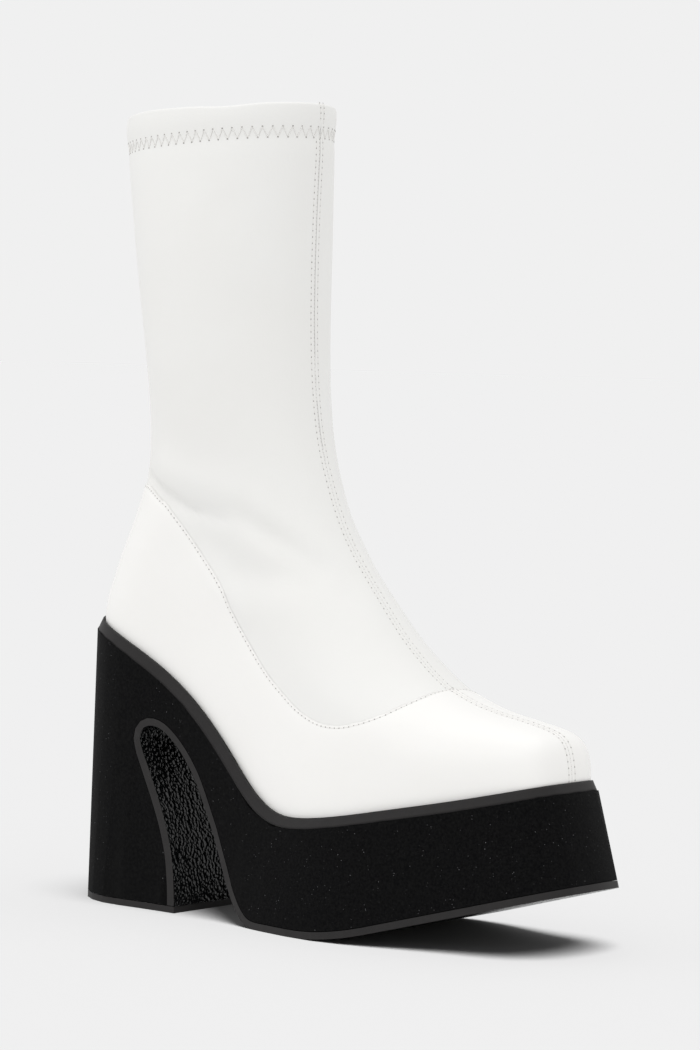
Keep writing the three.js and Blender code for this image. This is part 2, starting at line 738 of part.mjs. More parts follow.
const boot = new THREE.Group();
const pieces = [
  [makeUpper(), "upper", stretchLeather],
  [makeFootPanel(), "foot_panel", panelLeather],
  [makeInsole(), "insole", insoleSock],
  [makeRand(), "rand", edgeRubber],
  [makeBlock(), "platform_block", flockedFoam],
  [makeOutsole(), "outsole", soleRubber],
  [makeTopLift(), "heel_top_lift", soleRubber],
];
for (const [solid, name, material] of pieces) {
  boot.add(manifoldToMesh(solid, name, material));
}
boot.position.x = -(BREAST_FOOT - END_EDGE - HEEL_FLARE) / 2;

export default boot;
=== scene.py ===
"""An ankle boot on a chunky block heel: a white stretch leather sock leg over a black flocked platform.

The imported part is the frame. Every piece below is laid on it, in metres.
"""
import math

import bmesh
import bpy
import numpy as np
from mathutils import Matrix, Vector
from mathutils.bvhtree import BVHTree


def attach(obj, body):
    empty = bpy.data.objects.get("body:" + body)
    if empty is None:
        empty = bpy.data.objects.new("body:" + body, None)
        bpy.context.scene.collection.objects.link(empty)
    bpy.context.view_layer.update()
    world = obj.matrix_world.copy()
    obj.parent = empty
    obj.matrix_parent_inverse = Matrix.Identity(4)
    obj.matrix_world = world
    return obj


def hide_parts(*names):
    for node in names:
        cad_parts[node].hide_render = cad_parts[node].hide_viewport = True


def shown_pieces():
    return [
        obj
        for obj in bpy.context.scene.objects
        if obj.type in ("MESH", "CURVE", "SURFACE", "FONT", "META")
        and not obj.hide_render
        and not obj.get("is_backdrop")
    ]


MM = 0.001
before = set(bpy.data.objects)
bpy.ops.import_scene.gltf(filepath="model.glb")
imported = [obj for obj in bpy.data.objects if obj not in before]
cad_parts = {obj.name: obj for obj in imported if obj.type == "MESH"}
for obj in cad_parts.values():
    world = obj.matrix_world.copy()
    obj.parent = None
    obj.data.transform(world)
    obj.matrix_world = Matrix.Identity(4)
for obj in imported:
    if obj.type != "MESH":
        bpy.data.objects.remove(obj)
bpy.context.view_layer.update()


# Leg and vamp
# Two halves of thin white leather bonded to a stretch lining, closed down the front and down the back,
# pulled wet over a last and turned in at the collar. What doesn't lie on the last hangs in soft folds
# round the ankle.

SAME_PLACE = 0.01 * MM  # corners that are closer to each other than this are one
SHARP = 50  # degrees: an edge that stays crisp
FLAT = 30  # degrees: two triangles that turn by less than this make one quad
SKEWED = 80  # degrees: how far its corners may be from square
COLLAR_EDGE = 1.1 * MM  # radius of the folded edge
COLLAR_RIM = 3 * MM  # the edge to be rounded lies less than this under the collar's lowest place
COLLAR_HEM = 11 * MM  # how far the leather is turned in
HEM_INSIDE = 1.3 * COLLAR_HEM  # how far down the inside of the hem may reach
BACK_COLLAR = Vector((-0.0231, 0, 0.343))  # the collar's edge at the back and at the front
FRONT_COLLAR = Vector((0.0555, 0, 0.349))
SEAM_GROOVE = 0.06 * MM  # depth of a closed seam
SEAM_HALF = 0.5 * MM
SEAM_ROLL = 0.18 * MM  # how far the leather stands up beside it, over its turned allowances
ALLOWANCE = 2.3 * MM  # from a closed seam to the row that holds its allowance down
LEATHER, LINING = 0, 1  # material slots of the upper
LEG_MIDDLE = Vector((0.018, 0, 0))


def cad_copy(node):
    """A CAD node's mesh as one merged skin, in quads wherever two triangles make one."""
    bm = bmesh.new()
    bm.from_mesh(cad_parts[node].data)
    bmesh.ops.remove_doubles(bm, verts=bm.verts, dist=SAME_PLACE)
    bmesh.ops.join_triangles(
        bm,
        faces=bm.faces,
        angle_face_threshold=math.radians(FLAT),
        angle_shape_threshold=math.radians(SKEWED),
        topology_influence=1.0,
    )
    return bm


def sharp_edges(bm, degrees):
    """The edges where the skin turns by more than an angle."""
    return [e for e in bm.edges if e.calc_face_angle(0) > math.radians(degrees)]


def crease(bm, degrees):
    """Keeps the edges sharper than an angle crisp under a subdivision."""
    layer = bm.edges.layers.float.new("crease_edge")
    for edge in sharp_edges(bm, degrees):
        edge[layer] = 1.0


def spread_over(seed, degrees):
    """The faces reached from a seed face without crossing an edge sharper than the angle."""
    found, waiting = {seed}, [seed]
    while waiting:
        for edge in waiting.pop().edges:
            if edge.calc_face_angle(0) < math.radians(degrees):
                for face in edge.link_faces:
                    if face not in found:
                        found.add(face)
                        waiting.append(face)
    return found


def new_piece(bm, name):
    """A finished skin as a piece that goes with the root."""
    mesh = bpy.data.meshes.new(name)
    bm.to_mesh(mesh)
    bm.free()
    mesh.shade_smooth()
    piece = bpy.data.objects.new(name, mesh)
    bpy.context.scene.collection.objects.link(piece)
    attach(piece, "root")
    return piece


def subdivided(bm, levels):
    """The mesh after a Catmull-Clark subdivision, as a new bmesh."""
    mesh = bpy.data.meshes.new("cage")
    bm.to_mesh(mesh)
    bm.free()
    cage = bpy.data.objects.new("cage", mesh)
    bpy.context.scene.collection.objects.link(cage)
    modifier = cage.modifiers.new("subdivision", "SUBSURF")
    modifier.levels = modifier.render_levels = levels
    smooth = bmesh.new()
    smooth.from_object(cage, bpy.context.evaluated_depsgraph_get())
    bpy.data.objects.remove(cage)
    bpy.data.meshes.remove(mesh)
    return smooth


def gauss(distance, width):
    """One in the middle, and next to nothing at twice the width."""
    return math.exp(-((distance / width) ** 2))


def below_collar(point):
    """How far a point lies under the plane of the collar's edge."""
    share = (point.x - BACK_COLLAR.x) / (FRONT_COLLAR.x - BACK_COLLAR.x)
    return BACK_COLLAR.z + share * (FRONT_COLLAR.z - BACK_COLLAR.z) - point.z


# Folds of the leg: the points along each one in mm with how far it stands out there, and its half width.
# The camera's side is read from the photograph, and the far side has much the same folds.
FOLDS = [
    (((4.6, -21.5, 186.5, -2.2), (15, -27, 182.5, -3.4), (24, -30, 178.5, -3.0), (35, -30, 174.5, -2.2),
      (54, -30, 171, -0.8)), 3.0),
    (((50, -30, 173, -0.4), (62, -29, 173, -1.3), (78, -26, 165, -2.2), (85, -24, 161, -1.7),
      (99, -18, 153, -0.4)), 4.6),
    (((40, -30, 166, -0.3), (52, -30, 157, -1.7), (62, -30, 150, -2.4), (77, -30, 147, -2.2),
      (93, -25, 148, -1.4), (103, -16, 150, -0.3)), 8.5),
    (((12, -26, 194, 0.5), (20, -29, 191, 1.7), (39, -31, 186, 1.9), (55, -30, 182, 1.3),
      (69, -27, 179, 0.5)), 7.5),
    (((68, -28, 176, 0.2), (84, -24, 171, 0.9), (95, -18, 164, 0.8), (103, -11, 155, 0.3)), 6.0),
    (((45, -30, 153, 0.5), (56, -30, 141, 1.0), (68, -31, 131, 0.6)), 5.0),
    (((105, -15, 148, -0.2), (112, -15, 141, -0.7), (120, -15, 132, -0.2)), 6.0),
    (((64, -25, 224, -0.05), (70, -21, 225.5, -0.3), (76, -16, 225, -0.05)), 1.6),
    (((50, -31, 262, -0.1), (60, -30, 259, -0.5), (74, -15, 256, -0.1)), 9.0),
    (((50, -32, 310, -0.1), (54, -32, 304, -0.5), (62, -30, 296, -0.1)), 10.0),
    (((28, -33, 250, 0.1), (24, -32, 236, 0.5), (26, -31, 222, 0.1)), 12.0),
    (((3, 21, 187, -1.4), (14, 27, 183, -2.2), (26, 30, 177, -2.0), (42, 30, 170, -1.2),
      (56, 30, 166, -0.5)), 4.0),
    (((54, 30, 168, -0.4), (66, 29, 166, -1.2), (80, 26, 160, -1.7), (92, 22, 153, -0.6)), 5.5),
    (((46, 30, 160, -0.8), (60, 31, 150, -2.0), (78, 30, 146, -1.9), (96, 24, 147, -0.8)), 8.5),
    (((14, 27, 194, 0.5), (30, 30, 189, 1.3), (50, 31, 183, 1.0), (68, 28, 178, 0.3)), 8.0),
    (((78, 26, 172, 0.4), (92, 20, 165, 0.8), (102, 12, 156, 0.3)), 6.0),
    (((58, 30, 228, -0.1), (66, 25, 226, -0.3), (74, 17, 228, -0.1)), 1.8),
    (((40, 33, 290, 0.1), (36, 33, 276, 0.5), (38, 32, 262, 0.1)), 12.0),
]
# Waves of the collar's edge: x, y, rise and half width, in mm
COLLAR_DIPS = [(51, -32, -1.1, 13), (8, -33, 0.5, 16), (70, 14, -0.5, 13), (30, 36, 0.6, 17)]
# Forms along the hem: rise, distance under the collar's edge and half width
HEM_FORMS = [
    (0.55 * MM, 0.55 * COLLAR_HEM, 0.5 * COLLAR_HEM),
    (-0.6 * MM, 1.35 * COLLAR_HEM, 0.35 * COLLAR_HEM),
]


def fold_height(places):
    """How far the folds push each place out of the skin."""
    height = np.zeros(len(places))
    for line, half in FOLDS:
        line = np.array(line) * MM
        start, run = line[:-1, :3], np.diff(line[:, :3], axis=0)
        share = (((places[:, None] - start) * run).sum(2) / (run**2).sum(1)).clip(0, 1)
        off = np.linalg.norm(places[:, None] - start - run * share[..., None], axis=2)
        near = off.argmin(1)
        row = np.arange(len(places))
        rise = line[near, 3] + share[row, near] * (line[near + 1, 3] - line[near, 3])
        height += rise * np.exp(-((off[row, near] / (half * MM)) ** 2))
    return height


def collar_rise(point):
    """The collar's edge stands a little up and down, as a cut tube's does."""
    wave = sum(
        rise * MM * gauss(math.hypot(point.x - x * MM, point.y - y * MM), half * MM)
        for x, y, rise, half in COLLAR_DIPS
    )
    return wave * max(0, 1 - below_collar(point) / (2 * COLLAR_HEM))


def seam_relief(point):
    """Groove of the closed seam in the middle plane, and the rolls beside it."""
    off = abs(point.y)
    return SEAM_ROLL * gauss(off - ALLOWANCE / 2, ALLOWANCE / 3) - SEAM_GROOVE * gauss(off, SEAM_HALF)


def hem_relief(point):
    """The turned-in hem swells out over its doubled leather, and the zigzag draws its lower edge in."""
    return sum(rise * gauss(below_collar(point) - under, half) for rise, under, half in HEM_FORMS)


def turned_in(vert):
    """Whether a place on the leather is on the inside of the collar's hem."""
    outwards = (vert.co - LEG_MIDDLE) * Vector((1, 1, 0))
    return below_collar(vert.co) < HEM_INSIDE and vert.normal.dot(outwards) < 0


def cut_along(bm, off):
    """Cuts a skin along a line beside the middle plane, so that its relief has edges to follow."""
    everything = bm.verts[:] + bm.edges[:] + bm.faces[:]
    bmesh.ops.bisect_plane(bm, geom=everything, plane_co=(0, off, 0), plane_no=(0, 1, 0))


bm = cad_copy("upper")
rim = [e for e in sharp_edges(bm, SHARP) if max(v.co.z for v in e.verts) > BACK_COLLAR.z - COLLAR_RIM]
bmesh.ops.bevel(bm, geom=rim, offset=COLLAR_EDGE, affect="EDGES", segments=3, profile=0.5, material=-1)
crease(bm, SHARP)
outside = spread_over(max(bm.faces, key=lambda f: f.calc_center_median().y), SHARP)
for face in bm.faces:
    hem = below_collar(face.calc_center_median()) < COLLAR_HEM
    face.material_index = LEATHER if hem or face in outside else LINING
bm = subdivided(bm, 2)
for off in (-ALLOWANCE, -SEAM_HALF, 0, SEAM_HALF, ALLOWANCE):
    cut_along(bm, off)
bm.normal_update()
heights = fold_height(np.array([v.co for v in bm.verts]))
standing = []
for vert, height in zip(bm.verts, heights):
    outer = any(f.material_index == LEATHER for f in vert.link_faces) and not turned_in(vert)
    out = vert.normal if outer else -vert.normal
    relief = seam_relief(vert.co) + hem_relief(vert.co) if outer else 0
    standing.append(vert.co + out * (height + relief) + Vector((0, 0, collar_rise(vert.co))))
for vert, place in zip(bm.verts, standing):
    vert.co = place
bm.normal_update()


def skin_of(bm, slot):
    """A copy of the faces that carry one material."""
    skin = bm.copy()
    bmesh.ops.delete(skin, geom=[f for f in skin.faces if f.material_index != slot], context="FACES")
    return skin


leather_skin = skin_of(bm, LEATHER)
upper = new_piece(bm, "leather_leg")
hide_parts("upper")


def linear(hex_colour):
    """An sRGB hex colour as the linear RGBA that shaders take."""
    parts = [int(hex_colour[i : i + 2], 16) / 255 for i in (1, 3, 5)]
    return [c / 12.92 if c <= 0.04045 else ((c + 0.055) / 1.055) ** 2.4 for c in parts] + [1]


def add(material, kind, settings=None, **links):
    """Adds a node: settings are its properties and socket values, links feed its sockets from outputs.

    A socket without a name of its own is given by its number, as i0 for the first.
    """
    node = material.node_tree.nodes.new(kind)
    for name, value in (settings or {}).items():
        if isinstance(name, str) and hasattr(node, name):
            setattr(node, name, value)
        else:
            node.inputs[name].default_value = value
    for name, source in links.items():
        socket = int(name[1:]) if name[1:].isdigit() else name
        material.node_tree.links.new(source, node.inputs[socket])
    return node


def mix(material, share, start, end):
    """Blends two sRGB colours by a share."""
    colours = {"data_type": "RGBA", 6: linear(start), 7: linear(end)}
    return add(material, "ShaderNodeMix", colours, i0=share).outputs[2]


def noise(material, where, size, **settings):
    """Soft clouds of a size."""
    return add(material, "ShaderNodeTexNoise", {"Scale": 1 / size, **settings}, Vector=where)


def cells(material, where, size, **settings):
    """Cells of a size, darkest in their middles."""
    return add(material, "ShaderNodeTexVoronoi", {"Scale": 1 / size, **settings}, Vector=where)


def wired(material, shader, colour=None, height=None, strength=0, depth=0, **settings):
    """Feeds a surface with its colour, and with the relief of a height, as deep as given."""
    if colour is not None:
        material.node_tree.links.new(colour, shader.inputs["Base Color"])
    if height is not None:
        relief = {"Strength": strength, "Distance": depth, **settings}
        bump = add(material, "ShaderNodeBump", relief, Height=height)
        material.node_tree.links.new(bump.outputs[0], shader.inputs["Normal"])
    return material


def new_material(name, surface):
    """A material with a Principled surface set by its socket names, and the place on the piece."""
    material = bpy.data.materials.new(name)
    material.use_nodes = True
    material.node_tree.nodes.clear()
    shader = add(material, "ShaderNodeBsdfPrincipled", surface)
    output = add(material, "ShaderNodeOutputMaterial")
    material.node_tree.links.new(shader.outputs[0], output.inputs["Surface"])
    return material, shader, add(material, "ShaderNodeTexCoord").outputs["Object"]


def dress(piece, *materials):
    """Takes the frame's own materials off a piece and puts these on, in the order of its slots."""
    piece.data.materials.clear()
    for material in materials:
        piece.data.materials.append(material)


# Corrected-grain calf, bonded and pigment-finished white: a satin coat whose tone drifts a little yellower
# in broad soft clouds, over a fine even pore. The pores of 0.3 mm are drawn at 0.9 mm, or they would not
# show.
def white_leather(name, colour, deep, roughness):
    surface = {"Roughness": roughness, "IOR": 1.47, "Coat Weight": 0.12, "Coat Roughness": 0.4}
    material, shader, where = new_material(name, surface)
    tone = mix(material, noise(material, where, 38 * MM, Detail=3).outputs[0], colour, deep)
    pores = cells(material, where, 0.9 * MM).outputs[0]
    waves = noise(material, where, 7 * MM, Detail=2).outputs[0]
    grain = add(material, "ShaderNodeMath", {"operation": "MULTIPLY_ADD", 1: 0.12}, i0=pores, i2=waves)
    return wired(material, shader, tone, grain.outputs[0], 0.35, 0.25 * MM)


# Brushed polyester tricot, the stretch lining: matt, with loops one stitch wide
def tricot(name, colour, deep):
    surface = {"Roughness": 0.9, "Sheen Weight": 0.25, "Sheen Roughness": 0.5}
    material, shader, where = new_material(name, surface)
    loops = cells(material, where, 1.1 * MM).outputs[0]
    return wired(material, shader, mix(material, loops, deep, colour), loops, 0.5, 0.3 * MM)


dress(
    upper,
    white_leather("white_stretch_leather", "#EDEDEB", "#EAE9E6", 0.46),
    tricot("pale_tricot_lining", "#D9D6D0", "#C9C5BE"),
)


# Foot panel
# Firmer white leather over the foot, skived thin and stitched down on the stretch leg along its upper
# edge. The edge runs level round the heel, falls past the ankle to the instep and turns up before the toe,
# which the panel covers whole.

PANEL_GAP = 0.3 * MM
PANEL_WALL = 0.8 * MM
EDGE_GAP = 0.03 * MM  # the edge is skived thin, so that it lies down on the leg
EDGE_WALL = 0.22 * MM
SKIVE = 3 * MM  # how far in from the edge the leather is thinned
SLIVER = 0.05 * MM  # an edge shorter than this is taken up by its neighbours
# The edge in the side view, in mm from the back of the foot and above the floor
PANEL_EDGE = [
    (-60, 184), (-15, 184), (15, 184), (26.5, 183.7), (35.5, 182.6), (45.5, 178), (52, 174.3),
    (61, 166), (70, 156.6), (79.5, 146.6), (84.6, 140.3), (89.5, 132), (97, 122), (106, 112),
    (112.7, 105.7), (120.3, 100.1), (130, 93.9), (142, 89.3), (153.3, 88.6), (163, 90.6),
    (172.4, 94.3), (178.6, 98.5), (182.8, 102.7), (183.8, 107), (184, 113), (184, 140), (184, 400),
]
EDGE_STEPS = 6  # from one of these points to the next
LAST_BACK = 28.3  # mm, from the back of the foot to the origin


def through(points, steps):
    """A smooth line through points."""
    line = []
    for i in range(len(points) - 1):
        near = [points[max(0, min(len(points) - 1, i + k))] for k in (-1, 0, 1, 2)]
        for step in range(steps):
            t = step / steps
            line.append([
                0.5 * (2 * b + (c - a) * t + (2 * a - 5 * b + 4 * c - d) * t**2
                       + (3 * b - a - 3 * c + d) * t**3)
                for a, b, c, d in zip(*near)
            ])
    return line + [points[-1]]


edge_line = np.array([((x - LAST_BACK) * MM, z * MM) for x, z in through(PANEL_EDGE, EDGE_STEPS)])


def over_edge(points):
    """How far points lie above the panel's edge in the side view: below it the number is negative."""
    flat = np.array([(p.x, p.z) for p in points])
    a, b = edge_line[:-1], edge_line[1:]
    run = b - a
    share = ((flat[:, None] - a) * run).sum(2) / (run**2).sum(1)
    off = flat[:, None] - (a + run * share.clip(0, 1)[..., None])
    far = np.hypot(off[..., 0], off[..., 1])
    near = far.argmin(1)
    row = np.arange(len(flat))
    side = run[near, 0] * off[row, near, 1] - run[near, 1] * off[row, near, 0]
    return far[row, near] * np.sign(side)


def cut(bm, field, keep_below=False):
    """Cuts a skin where a field over its points is zero, and returns the new edges."""
    place = bm.verts.layers.float_vector.new("place")
    values = field([v.co for v in bm.verts])
    for vert, value in zip(bm.verts, values):
        vert[place] = vert.co
        vert.co.z = value
    made = bmesh.ops.bisect_plane(
        bm,
        geom=bm.verts[:] + bm.edges[:] + bm.faces[:],
        dist=SAME_PLACE,
        plane_co=(0, 0, 0),
        plane_no=(0, 0, 1),
        clear_outer=keep_below,
    )["geom_cut"]
    for vert in bm.verts:
        vert.co = vert[place]
    bm.verts.layers.float_vector.remove(place)
    bm.normal_update()
    return [e for e in made if isinstance(e, bmesh.types.BMEdge)]


panel = leather_skin.copy()
cut(panel, over_edge, keep_below=True)
bmesh.ops.dissolve_degenerate(panel, edges=panel.edges, dist=SLIVER)
panel.normal_update()


def skived(verts, at_edge, full):
    """Moves a skin out by a distance that grows from the panel's edge to the full one."""
    for vert, depth in zip(verts, over_edge([v.co for v in verts])):
        vert.co += vert.normal * (full + (at_edge - full) * math.exp(min(0, depth) / SKIVE))


skived(panel.verts, EDGE_GAP, PANEL_GAP)
panel_skin = panel.copy()
skived(panel_skin.verts, EDGE_WALL, PANEL_WALL)
panel_skin.normal_update()
inner_faces = panel.faces[:]
grown = bmesh.ops.extrude_face_region(panel, geom=inner_faces, use_keep_orig=True)["geom"]
skived([v for v in grown if isinstance(v, bmesh.types.BMVert)], EDGE_WALL, PANEL_WALL)
bmesh.ops.reverse_faces(panel, faces=inner_faces)
panel.normal_update()
foot_panel = new_piece(panel, "foot_panel_leather")
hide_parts("foot_panel")
dress(foot_panel, white_leather("white_panel_leather", "#F4F3F1", "#F1F0ED", 0.42))


# Seams
# Bonded polyester thread, off-white. Two rows of long stitches hold the allowances of a closed seam down,
# with the fine stitches of the seam itself between them. One row holds the panel's edge, and a zigzag the
# collar's hem.

# Each needle hole, and the dent that each grain of the zigzag lies in, is drawn as a dark grain of painted
# shade.
THREAD = 0.42 * MM
ROW_PITCH = 2.7 * MM
FINE_PITCH = 1.6 * MM
PANEL_PITCH = 2.45 * MM
HEM_PITCH = 0.85 * ROW_PITCH
SEAM_ROWS = ((-ALLOWANCE, ROW_PITCH), (-0.11 * ALLOWANCE, FINE_PITCH), (0.9 * ALLOWANCE, ROW_PITCH))
HEM_ROWS = (-0.5 * ALLOWANCE, 0.5 * ALLOWANCE)  # the two that close the seam over the hem
PANEL_INSET = 1.0 * MM  # from the panel's edge to its row
EDGE_INSET = 0.6 * MM  # from the collar's edge to the first stitch
SCRAP = 3  # a run of no more places than this is no row
STITCH = Vector((0.86, 1, 0.8))  # length in pitches, and width and height in threads
LIFT = 0.1  # how far a stitch stands off the leather, in threads
HOLE = 0.85 * MM  # a needle hole, stretched by its stitches
HOLE_SHARE = 0.3  # of the pitch, at most
PIT = (1, 0.9, 0.3)  # length, width and depth of a hole's dark grain of painted shade, as shares of a hole
ZIGZAG = (11.6 * MM, 16.2 * MM)  # its upper and lower turns under the collar's edge
ZIGZAG_PITCH = 4.4 * MM
ZIGZAG_GRAINS = (0.2, 0.5, 0.8)  # each leg of it is three grains that overlap
GRAIN_SHARE = 0.44  # length of a grain in legs
GRAIN_LIFT = 0.1 * MM
GRAIN_SHADOW = (1.2, 0.3)  # width and depth, in threads, of the dark line of painted shadow that a grain lies in, where it sinks into the leather
TURN_DEPTH = 0.6  # depth of the dark grain of painted shade in the hole at an upper or lower turn, as shares of a hole
FINE_STEP = 0.2 * MM  # how closely the places for the lower turns are looked for


def runs_of(edges):
    """The edges end to end: each run is a list of places and normals."""
    links = {}
    for edge in edges:
        for a, b in (edge.verts, reversed(edge.verts)):
            links.setdefault(a, []).append(b)
    runs = []
    while links:
        run = [next((v for v in links if len(links[v]) == 1), next(iter(links)))]
        while run[-1] in links:
            run += [v for v in links.pop(run[-1]) if v in links][:1] or [run[-1]]
        runs.append([(v.co.copy(), v.normal.copy()) for v in run[:-1]])
    return runs


def rows_on(skin, field, wanted):
    """The runs on a skin where a field is zero, cut down to the places that are wanted."""
    cut_skin = skin.copy()
    found = []
    for run in runs_of(cut(cut_skin, field)):
        kept = [(place, normal) for place, normal in run if wanted(place, normal)]
        if len(kept) > SCRAP:
            found.append(kept)
    cut_skin.free()
    return found


def spaced(run, pitch):
    """Places at an even pitch along a run, each with the way it goes there and the way out of the skin."""
    places = np.array([p for p, _ in run])
    normals = np.array([n for _, n in run])
    far = np.concatenate([[0], np.linalg.norm(np.diff(places, axis=0), axis=1).cumsum()])
    at = (np.arange(max(1, round(far[-1] / pitch))) + 0.5) * pitch

    def read(table, where):
        return Vector([float(np.interp(where, far, table[:, axis])) for axis in range(3)])

    found = []
    for t in at[at < far[-1]]:
        along = read(places, t + pitch / 3) - read(places, t - pitch / 3)
        found.append((read(places, t), along.normalized(), read(normals, t).normalized()))
    return found


def lay(bm, place, along, out, size):
    """Lays a small rounded grain on the skin: size is its length, width and height."""
    side = out.cross(along).normalized()
    turned = Matrix([side * size[1], side.cross(along) * size[2], along * size[0]]).transposed().to_4x4()
    at = Matrix.Translation(place) @ turned
    bmesh.ops.create_uvsphere(bm, u_segments=6, v_segments=4, radius=0.5, matrix=at)


def join(stock, made):
    """Adds one bmesh to another and frees it."""
    mesh = bpy.data.meshes.new("row")
    made.to_mesh(mesh)
    made.free()
    stock.from_mesh(mesh)
    bpy.data.meshes.remove(mesh)


def sew(thread, painted_shade, run, pitch, width=THREAD):
    """A row of stitches: each dives into a needle hole at both ends, whose dark grain is painted shade."""
    row, shade_grains = bmesh.new(), bmesh.new()
    hole = min(HOLE, HOLE_SHARE * pitch)
    for place, along, out in spaced(run, pitch):
        lay(row, place + out * LIFT * width, along, out, STITCH * Vector((pitch, width, width)))
        lay(shade_grains, place + along * pitch / 2, along, out, [hole * share for share in PIT])
    join(thread, row)
    join(painted_shade, shade_grains)


leg_skin = leather_skin.copy()
cut(leg_skin, lambda points: -over_edge(points), keep_below=True)
thread, painted_shade = bmesh.new(), bmesh.new()

# The closed seams, in front and at the back, from the zigzag down to the sole
for off, pitch in SEAM_ROWS:
    for skin in (leg_skin, panel_skin):
        for facing in (1, -1):
            for run in rows_on(
                skin,
                lambda points: [p.y - off for p in points],
                lambda p, n: (p.x - LEG_MIDDLE.x) * facing > 0
                and n.x * facing > -0.1
                and below_collar(p) > ZIGZAG[1] - 1 * MM,
            ):
                sew(thread, painted_shade, run, pitch)

# The same seams over the hem
for off in HEM_ROWS:
    for run in rows_on(
        leg_skin,
        lambda points: [p.y - off for p in points],
        lambda p, n: abs(n.x) > 0.3
        and n.x * (p.x - LEG_MIDDLE.x) > 0
        and EDGE_INSET < below_collar(p) < ZIGZAG[0],
    ):
        sew(thread, painted_shade, run, HEM_PITCH)

# The panel's upper edge
for run in rows_on(panel_skin, lambda points: over_edge(points) + PANEL_INSET, lambda p, n: n.length > 0):
    sew(thread, painted_shade, run, PANEL_PITCH, width=0.9 * THREAD)


# The zigzag round the hem: its upper turns are evenly spaced, and each lower one lies under the middle of
# two.
def hem_row(under, pitch):
    """Places at an even pitch round the leg, at a depth under the collar's edge."""
    rows = rows_on(
        leg_skin,
        lambda points: [below_collar(p) - under for p in points],
        lambda p, n: n.dot((p - LEG_MIDDLE) * Vector((1, 1, 0))) > 0,
    )
    return spaced(max(rows, key=len), pitch)


leg_tree = BVHTree.FromBMesh(leg_skin)
upper_turns = hem_row(ZIGZAG[0], ZIGZAG_PITCH)
under_them = hem_row(ZIGZAG[1], FINE_STEP)
turns = []
for (place, _, _), (following, _, _) in zip(upper_turns, upper_turns[1:] + upper_turns[:1]):
    middle = (place + following) / 2
    turns += [place, min((low for low, _, _ in under_them), key=lambda low: (low - middle).length)]
row, shade_grains = bmesh.new(), bmesh.new()
for start, end in zip(turns, turns[1:] + turns[:1]):
    along, length = (end - start).normalized(), GRAIN_SHARE * (end - start).length
    for share in ZIGZAG_GRAINS:
        place, normal, _, _ = leg_tree.find_nearest(start.lerp(end, share))
        lay(row, place + normal * GRAIN_LIFT, along, normal, (length, THREAD, THREAD))
        # a dark, wider grain under it is its painted shadow in the leather
        lay(shade_grains, place, along, normal, (length, *[THREAD * share for share in GRAIN_SHADOW]))
    place, normal, _, _ = leg_tree.find_nearest(start)
    lay(shade_grains, place, along, normal, (HOLE, HOLE, HOLE * TURN_DEPTH))
join(thread, row)
join(painted_shade, shade_grains)


# Bonded polyester: a smooth round thread that takes a small gloss
def plain_thread(name, colour):
    material, shader, where = new_material(name, {"Roughness": 0.5, "Sheen Weight": 0.1})
    twist = noise(material, where, 0.6 * MM, Detail=1).outputs[0]
    return wired(material, shader, mix(material, twist, colour, "#E6E4E0"))


# The dark colour of each needle hole is painted shade, where the hole sinks into the leather.
for name, made, colour in (("sewing_thread", thread, "#F4F3F1"), ("needle_hole_shade", painted_shade, "#504C48")):
    stitches = new_piece(made, name)
    dress(stitches, plain_thread(name, colour))


# Insole
# A moulded fibre board under a white sock of thin leather, which is all that shows of it down the shaft.

bm = cad_copy("insole")
crease(bm, SHARP)
insole = new_piece(subdivided(bm, 2), "sock_lined_insole")
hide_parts("insole")
dress(insole, white_leather("sock_leather", "#D8D4CC", "#CEC9C0", 0.6))


# Rand
# A strip of charcoal rubberised edging that closes the joint between upper and platform all the way round.

RAND_DOWN = 0.27 * MM  # its foot is pressed down on the block
FACES_DOWN = -0.5  # a face is of its foot when its normal points down at least this far
BEVEL = 30  # degrees, what its bevelled edge turns by at least

bm = cad_copy("rand")
bm.normal_update()
for vert in {v for f in bm.faces if f.normal.z < FACES_DOWN for v in f.verts}:
    vert.co.z -= RAND_DOWN
crease(bm, BEVEL)
rand = new_piece(subdivided(bm, 2), "edge_strip")
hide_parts("rand")


# Satin charcoal rubber with a faint cloudy bloom
def satin_rubber(name, colour, bloom):
    material, shader, where = new_material(name, {"Roughness": 0.55, "Specular IOR Level": 0.22})
    clouds = noise(material, where, 6 * MM, Detail=5, Roughness=0.7).outputs[0]
    return wired(material, shader, mix(material, clouds, colour, bloom), clouds, 0.4, 0.2 * MM)


dress(rand, satin_rubber("charcoal_edge_rubber", "#1C1B1B", "#282626"))


# Platform block
# One block of rigid foam, from the heel through the bridge to the toe, flocked all over with short black
# fibres.

CUT_EDGE = math.radians(35)  # cut foam and rubber stay crisp where they turn by more than this

block = new_piece(cad_copy("platform_block"), "flocked_block")
block.data.set_sharp_from_angle(angle=CUT_EDGE)
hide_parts("platform_block")


